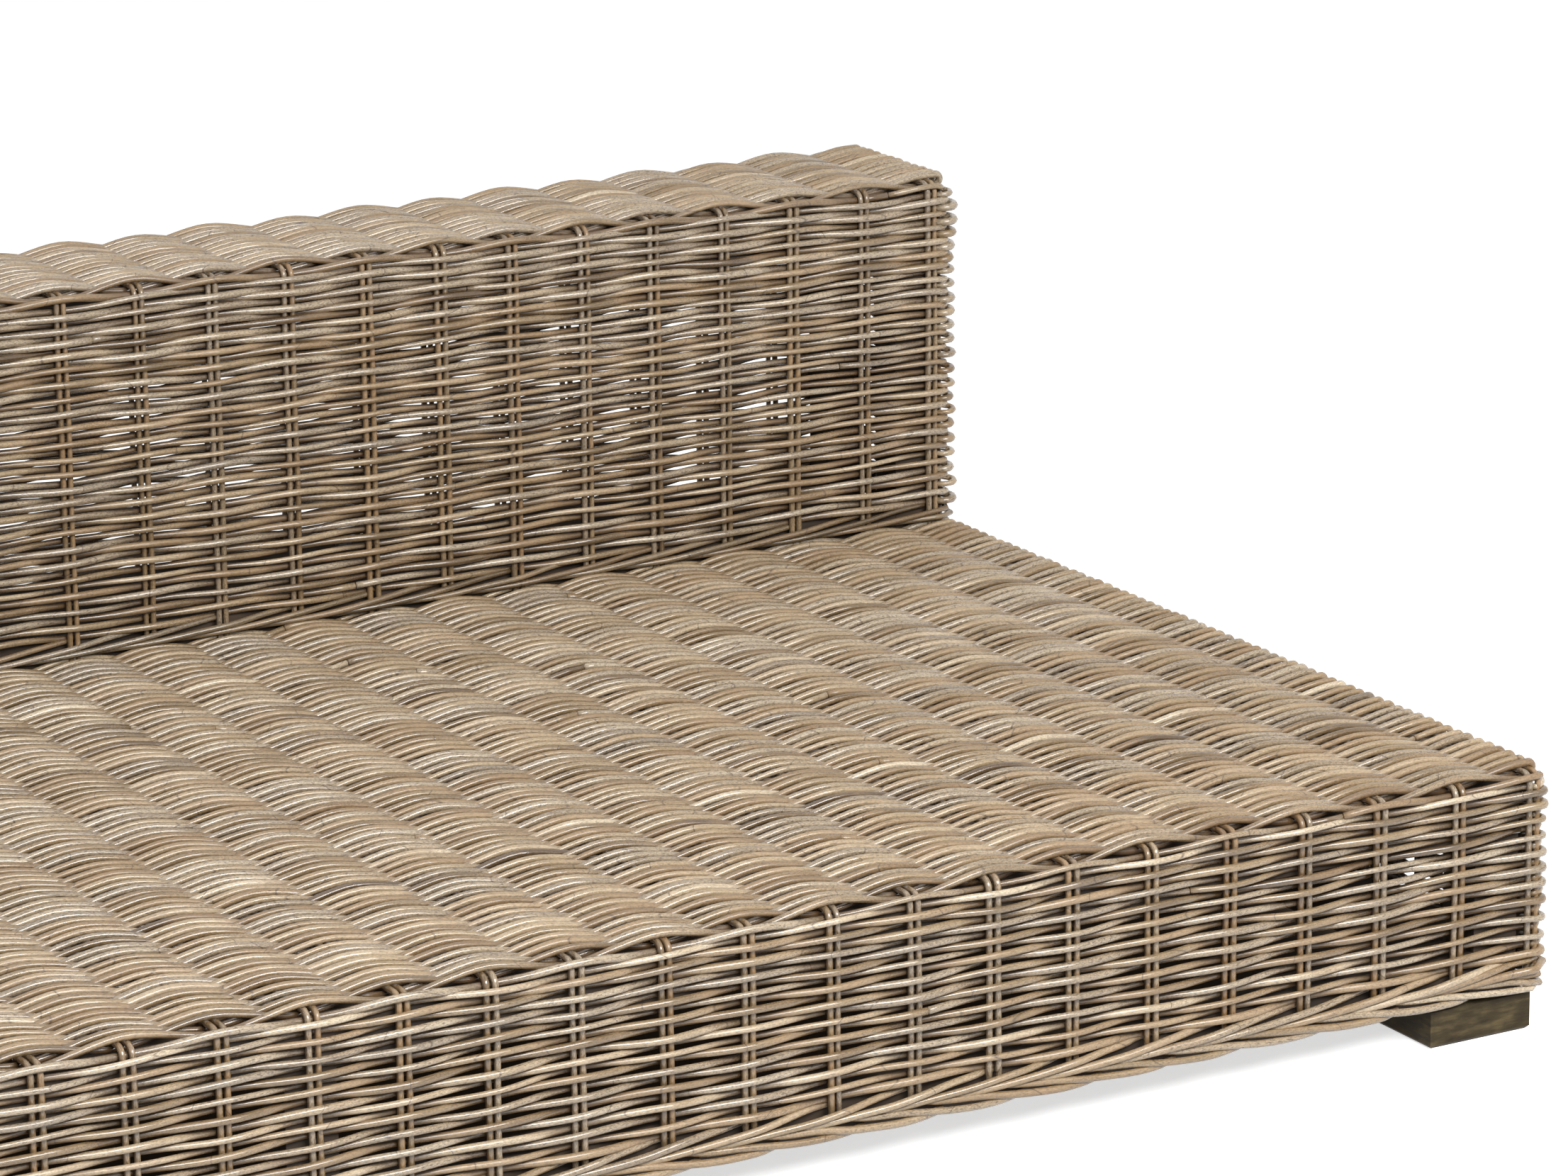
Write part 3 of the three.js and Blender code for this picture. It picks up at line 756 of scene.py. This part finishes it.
def addEdge(bundle, way, top, first, last):
    pairs, steps = way["pairs"][first: last + 1], weave["stepsPerBay"]
    bays = [a + (b - a) * np.arange(steps) / steps for a, b in zip(pairs, pairs[1:])]
    places = np.concatenate(bays + [pairs[-1:]])
    u = np.arange(len(places)) / steps
    over = -np.cos(math.pi * u)
    reach = stakes["bend"] + swing * over + edge["bulge"] * np.abs(np.sin(math.pi * u))
    angle = np.radians(edge["angle"] - edge["dive"] * (1 - over) / 2)
    out = reach * np.cos(angle) - stakes["bend"]
    z = top - inset - stakes["bend"] + reach * np.sin(angle)
    flat, normal = onWay(way, places)
    points = np.column_stack([flat + normal * out[:, None], z])
    outward = np.column_stack([normal * np.cos(angle)[:, None], np.sin(angle)])
    addRow(bundle, places, points, outward, swing * over, edge["tones"])


bundle = newBundle()
n, m = len(depthPairs), len(lengthPairs)
addEdge(bundle, boxWay, seatTop, n - 1, n + m)
bundleObject("seat_edge_canes", bundle, weaverCane, "cane", "seat_weave", "front_weave")
bundle = newBundle()
addEdge(bundle, backWay, backTop, sideCount - 1, sideCount + alongCount)
addEdge(bundle, backWay, backTop, 2 * sideCount + alongCount - 1, 2 * sideCount + 2 * alongCount - 1)
bundleObject("backrest_edge_canes", bundle, weaverCane, "cane", *backNodes)


# Cubic through the values at the knots, each with the slope between its two neighbours
def smoothThrough(knots, values, samples):
    slopes = np.gradient(values, knots, axis=0)
    k = np.clip(np.searchsorted(knots, samples, side="right") - 1, 0, len(knots) - 2)
    width = (knots[k + 1] - knots[k])[:, None]
    t = (samples[:, None] - knots[k][:, None]) / width
    start = values[k] * (2 * t**3 - 3 * t**2 + 1) + slopes[k] * width * (t**3 - 2 * t**2 + t)
    return start + values[k + 1] * (3 * t**2 - 2 * t**3) + slopes[k + 1] * width * (t**3 - t**2)


# What the strands of both borders share
strand = {
    "slide": 0.05,  # bays, from its place
    "stray": 0.00035,  # from its keys
    "limits": (-0.1, 0.08),  # of the diameter
    "step": 0.008,
    "cornerWidth": 0.014,
    "lifted": 0.002,  # so much less painted shade than canes of the weave
}


# One strand of a border. Its keys are [bays from the pair, out from the stakes, up from the level].
def addStrand(bundle, way, place, level, keys, shape, taper=0.0):
    keys = np.array(keys, float)
    keys[:, 0] += rng.uniform(-strand["slide"], strand["slide"])
    keys[:, 1:] += rng.normal(0, strand["stray"], (len(keys), 2))
    knots = keys[:, 0] * weave["pitch"]
    samples = np.arange(knots[0], knots[-1], strand["step"])
    values = smoothThrough(knots, keys[:, 1:], samples)
    flat, normal = onWay(way, place + samples)
    far = shortWay(way, place + samples[:, None] - way["bends"])
    values[:, 0] += shape["corner"] * np.exp(-((far / strand["cornerWidth"]) ** 2)).max(1)
    points = np.column_stack([flat + normal * values[:, :1], level + values[:, 1]])
    thick = np.full(len(samples), shape["diameter"] / 2 * (1 + rng.uniform(*strand["limits"])))
    thick[0] *= 1 - taper
    normals = np.column_stack([normal, np.zeros(len(samples))])
    out = values[:, 0] + strand["lifted"]
    addCane(bundle, points, normals, thick, rng.normal(*shape["tones"]), out)


# Rolled border. From every pair one strand bends away to the right and down under the edge, and
# another comes out from behind it and runs down to the left, over the first ones.
roll = {
    "diameter": 0.0067,
    "under": [
        (0.0, -0.0006, -0.009),
        (0.06, -0.0004, -0.0128),
        (0.16, 0.0008, -0.0146),
        (0.32, 0.0018, -0.0162),
        (0.8, 0.003, -0.0192),
        (1.1, 0.0038, -0.0222),
        (1.45, 0.0044, -0.025),
        (1.85, 0.0034, -0.0266),
        (2.15, 0.0006, -0.0259),
        (2.42, -0.0045, -0.0238),
    ],
    "over": [
        (-2.62, -0.001, -0.0158),
        (-2.3, 0.002, -0.0148),
        (-1.8, 0.0048, -0.0123),
        (-1.3, 0.0062, -0.0092),
        (-0.95, 0.006, -0.0056),
        (-0.6, 0.0022, -0.0032),
        (-0.3, -0.0022, -0.0018),
        (-0.1, -0.0058, -0.001),
        (0.06, -0.0066, -0.0004),
        (0.14, -0.0066, 0.0),
    ],
    "taper": 0.6,  # of the upper strand, at its lower end
    "tones": (0.56, 0.17),
    "corner": 0.005,  # how far the strands stand off round a corner
}
bundle = newBundle()
for place in boxWay["pairs"]:
    addStrand(bundle, boxWay, place, borderHigh.z, roll["under"], roll)
    addStrand(bundle, boxWay, place, borderHigh.z, roll["over"], roll, roll["taper"])
borders = ("border_front", "border_left", "border_right", "border_rear")
bundleObject("rolled_border", bundle, borderCane, "border_cane", *borders)

# Twined canes at the foot of the backrest: each goes over two pairs and behind the third
twine = {
    "diameter": 0.0056,
    "keys": [
        (-0.35, -0.004, -0.0072),
        (0.0, -0.0045, -0.0072),
        (0.5, 0.001, -0.0066),
        (1.0, 0.0056, -0.0052),
        (1.5, 0.0066, -0.0026),
        (2.0, 0.0056, 0.0008),
        (2.5, 0.0012, 0.0042),
        (3.0, -0.0045, 0.0062),
    ],
    "tones": (0.4, 0.14),
    "corner": 0.002,
}
bundle = newBundle()
level = (twineLow.z + twineHigh.z) / 2 + lift["twine"]
for place in backWay["pairs"][sideCount - 2: sideCount + alongCount]:
    addStrand(bundle, backWay, place, level, twine["keys"], twine)
bundleObject("backrest_foot_twine", bundle, twineCane, "border_cane", "back_border_front")
print("borders rolled")

# Timber: feet and the inner frame
timber = {
    "fine": (1.0, 5.0, 0.62),  # scale, detail and roughness of the grain, and of the blotches
    "blotch": (22.0, 3.0, 0.6),
    "blotchTone": 0.9,
    "grainRoughness": 0.25,
    "bump": (0.35, 0.001),
}
footLook = {
    "dark": srgb(39, 32, 22),
    "mid": srgb(65, 56, 39),
    "light": srgb(106, 92, 66),
    "grain": (30, 30, 160),
    "roughness": 0.45,
    "specular": 0.15,
}
# Painted shade: the inner frame takes darker colours than the feet, for the shade inside the seat box
frameLook = {
    "dark": srgb(36, 27, 19),
    "mid": srgb(54, 41, 29),
    "light": srgb(74, 58, 42),
    "grain": (8, 90, 90),
    "roughness": 0.6,
    "specular": 0.5,
}


def timberMaterial(name, look):
    material, tree, shader = nodeTree(name)
    coords = addNode(tree, "ShaderNodeTexCoord").outputs["Object"]
    grain = noiseOf(tree, stretch(tree, coords, look["grain"]), *timber["fine"])
    blotch = noiseOf(tree, coords, *timber["blotch"])
    stops = [(0.25, look["dark"]), (0.5, look["mid"]), (0.78, look["light"])]
    base = ramp(tree, sway(tree, blotch, timber["blotchTone"], grain), stops)
    tree.links.new(base, shader.inputs["Base Color"])
    rough = calc(tree, "MULTIPLY_ADD", grain, timber["grainRoughness"], look["roughness"])
    tree.links.new(rough, shader.inputs["Roughness"])
    strength, distance = timber["bump"]
    bump = addNode(tree, "ShaderNodeBump", Strength=strength, Distance=distance, Height=grain)
    tree.links.new(bump.outputs["Normal"], shader.inputs["Normal"])
    shader.inputs["Specular IOR Level"].default_value = look["specular"]
    return material


steel = {"grain": 900.0, "dark": 0.42, "light": 0.6, "roughness": 0.25, "grainRoughness": 0.25}


def steelMaterial(name):
    material, tree, shader = nodeTree(name)
    coords = addNode(tree, "ShaderNodeTexCoord").outputs["Object"]
    grain = noiseOf(tree, coords, steel["grain"])
    shade = greyRamp(tree, grain, (0.2, steel["dark"]), (0.8, steel["light"]))
    tree.links.new(shade, shader.inputs["Base Color"])
    rough = calc(tree, "MULTIPLY_ADD", grain, steel["grainRoughness"], steel["roughness"])
    tree.links.new(rough, shader.inputs["Roughness"])
    shader.inputs["Metallic"].default_value = 1.0
    return material


bySlot = {
    "foot_timber": timberMaterial("foot_timber", footLook),
    "frame_timber": timberMaterial("frame_timber", frameLook),
    "bolt_steel": steelMaterial("bolt_steel"),
}
for entry in frame["record"]["subparts"]:
    finish = bySlot.get(entry["material_slot"])
    if finish is None:
        continue
    node = frame["nodes"][entry["node"]]
    for i in range(len(node.data.materials)):
        node.data.materials[i] = finish
print("timber dressed")

# Floor, light and camera
studio = {
    "floor": 0.86,  # of the floor where the camera looks at it
    "glow": 0.62,
    "bounce": 0.3,  # of the floor for the light that it throws back
    "under": srgb(56, 44, 32),  # painted shadow on the floor below the sofa
    "margin": (0.05, 0.13),  # how far that reaches past the right end, and stays behind the front
    "floorSize": 30.0,
    "floorRoughness": 0.9,
    "floorSpecular": 0.1,
    "world": 0.33,  # of the white surroundings, as light
    "key": {"place": (0.7, -3.8, 2.75), "size": (3.6, 1.3), "power": 255.0},
    "top": {"place": (0.0, 0.4, 4.5), "size": (4.0, 2.0), "power": 20.0},
    "target": (0, 0, 0.2),
}


def lookingRays(tree):
    rays = addNode(tree, "ShaderNodeLightPath").outputs
    mirrored = calc(tree, "MAXIMUM", rays["Is Glossy Ray"], rays["Is Transmission Ray"])
    return calc(tree, "MAXIMUM", rays["Is Camera Ray"], mirrored)


def makeFloor():
    mesh = bpy.data.meshes.new("studio_floor")
    size = studio["floorSize"]
    corners = [(-size, -size, 0), (size, -size, 0), (size, size, 0), (-size, size, 0)]
    mesh.from_pydata(corners, [], [(0, 1, 2, 3)])
    material, tree, shader = nodeTree("studio_floor")
    # Pale where the camera looks at it and dark for the light it throws back; painted shadow below the
    # sofa
    rays = lookingRays(tree)
    seen = calc(tree, "MULTIPLY_ADD", rays, studio["floor"] - studio["bounce"], studio["bounce"])
    place = addNode(tree, "ShaderNodeTexCoord").outputs["Object"]
    x, y, _ = addNode(tree, "ShaderNodeSeparateXYZ", Vector=place).outputs

    def pastEdge(value, shift, half):
        fromMiddle = calc(tree, "ABSOLUTE", calc(tree, "SUBTRACT", value, shift))
        return calc(tree, "SUBTRACT", fromMiddle, half)

    shiftX, shiftY = studio["margin"][0] / 2, studio["margin"][1] / 2
    pastX, pastY = pastEdge(x, shiftX, right + shiftX), pastEdge(y, shiftY, rear - shiftY)
    past = calc(tree, "DIVIDE", calc(tree, "MAXIMUM", pastX, pastY), studio["margin"][0])
    # The painted shadow: full below the sofa, and fading out towards the edges of its patch
    below = greyRamp(tree, calc(tree, "ADD", past, 1.0), (0.0, 1), (1.0, 0))
    colour = mixColour(tree, "MIX", below, seen, (*studio["under"], 1))
    tree.links.new(colour, shader.inputs["Base Color"])
    clear = calc(tree, "MULTIPLY", rays, calc(tree, "SUBTRACT", 1.0, below))
    tree.links.new(calc(tree, "MULTIPLY", clear, studio["glow"]), shader.inputs["Emission Strength"])
    shader.inputs["Emission Color"].default_value = (1, 1, 1, 1)
    shader.inputs["Roughness"].default_value = studio["floorRoughness"]
    shader.inputs["Specular IOR Level"].default_value = studio["floorSpecular"]
    mesh.materials.append(material)
    floor = bpy.data.objects.new("studio_floor", mesh)
    bpy.context.scene.collection.objects.link(floor)


def makeWorld():
    world = bpy.data.worlds.new("studio")
    bpy.context.scene.world = world
    world.use_nodes = True
    tree = world.node_tree
    background = tree.nodes["Background"]
    strength = calc(tree, "MULTIPLY_ADD", lookingRays(tree), 1.0 - studio["world"], studio["world"])
    background.inputs["Color"].default_value = (1, 1, 1, 1)
    tree.links.new(strength, background.inputs["Strength"])


def makeLamp(name, lamp):
    light = bpy.data.lights.new(name, "AREA")
    light.shape = "RECTANGLE"
    light.size, light.size_y = lamp["size"]
    light.energy = lamp["power"]
    holder = bpy.data.objects.new(name, light)
    holder.location = lamp["place"]
    aim = Vector(studio["target"]) - Vector(lamp["place"])
    holder.rotation_euler = aim.to_track_quat("-Z", "Y").to_euler()
    bpy.context.scene.collection.objects.link(holder)


makeFloor()
makeWorld()
for name in ("key", "top"):
    makeLamp(name, studio[name])

# The camera stands where the photograph was taken from
shot = {
    "lens": 141.8,
    "sensor": 36.0,
    "yaw": 30.07,
    "pitch": 15.57,
    "roll": 0.53,
    "place": (-1.882, -4.524, 1.771),
    "farthest": 100,
}


def makeCamera():
    data = bpy.data.cameras.new("camera")
    data.lens, data.sensor_width, data.sensor_fit = shot["lens"], shot["sensor"], "HORIZONTAL"
    data.clip_end = shot["farthest"]
    camera = bpy.data.objects.new("camera", data)
    bpy.context.scene.collection.objects.link(camera)
    yaw, pitch, roll = (math.radians(shot[key]) for key in ("yaw", "pitch", "roll"))
    level = math.cos(pitch)
    forward = Vector((math.sin(yaw) * level, math.cos(yaw) * level, -math.sin(pitch)))
    across = Vector((math.cos(yaw), -math.sin(yaw), 0))
    down = forward.cross(across)
    acrossRolled = across * math.cos(roll) + down * math.sin(roll)
    downRolled = down * math.cos(roll) - across * math.sin(roll)
    turn = Matrix((acrossRolled, -downRolled, -forward)).transposed().to_4x4()
    camera.matrix_world = Matrix.Translation(shot["place"]) @ turn
    bpy.context.scene.camera = camera


makeCamera()
bpy.context.scene.view_settings.view_transform = "Standard"
print("studio ready")
